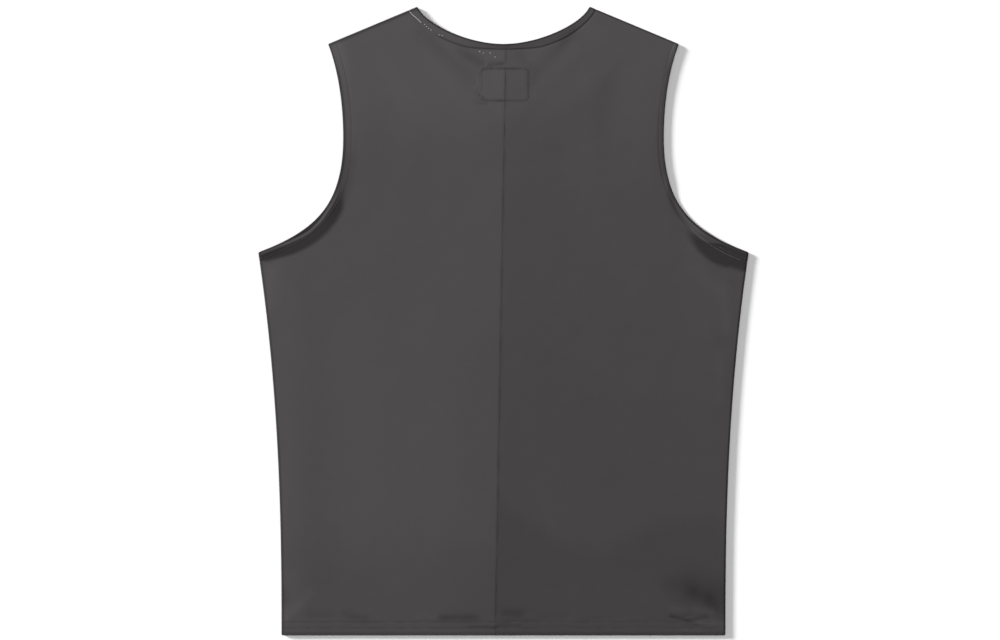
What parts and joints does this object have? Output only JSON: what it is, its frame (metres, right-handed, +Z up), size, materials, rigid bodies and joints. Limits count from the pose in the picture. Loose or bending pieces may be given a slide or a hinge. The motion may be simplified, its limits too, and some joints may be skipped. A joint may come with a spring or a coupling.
{
  "type": "sleeveless t-shirt",
  "caption": "Sleeveless jersey T-shirt laid flat with its back up, with bound neck and armholes, a centre-back seam and a turned hem.",
  "frame": {"origin": "centre of the shirt's box, on the surface that it lies on", "axes": "+Y from the hem towards the neck, +Z up from the surface, out of the back of the shirt, +X to the right with the back up and the neck away"},
  "size_m": [0.5496, 0.7046, 0.0057],
  "materials": {
    "front": "matte dark charcoal jersey",
    "back_left": "matte dark charcoal jersey",
    "back_right": "matte dark charcoal jersey",
    "neck_band": "matte dark charcoal jersey, folded double",
    "armhole_band_left": "matte dark charcoal jersey, folded double",
    "armhole_band_right": "matte dark charcoal jersey, folded double"
  },
  "bodies": {
    "root": {"front": "front", "back_left": "back_left", "back_right": "back_right", "neck_band": "neck_band", "armhole_band_left": "armhole_band_left", "armhole_band_right": "armhole_band_right"}
  },
  "joints": []
}
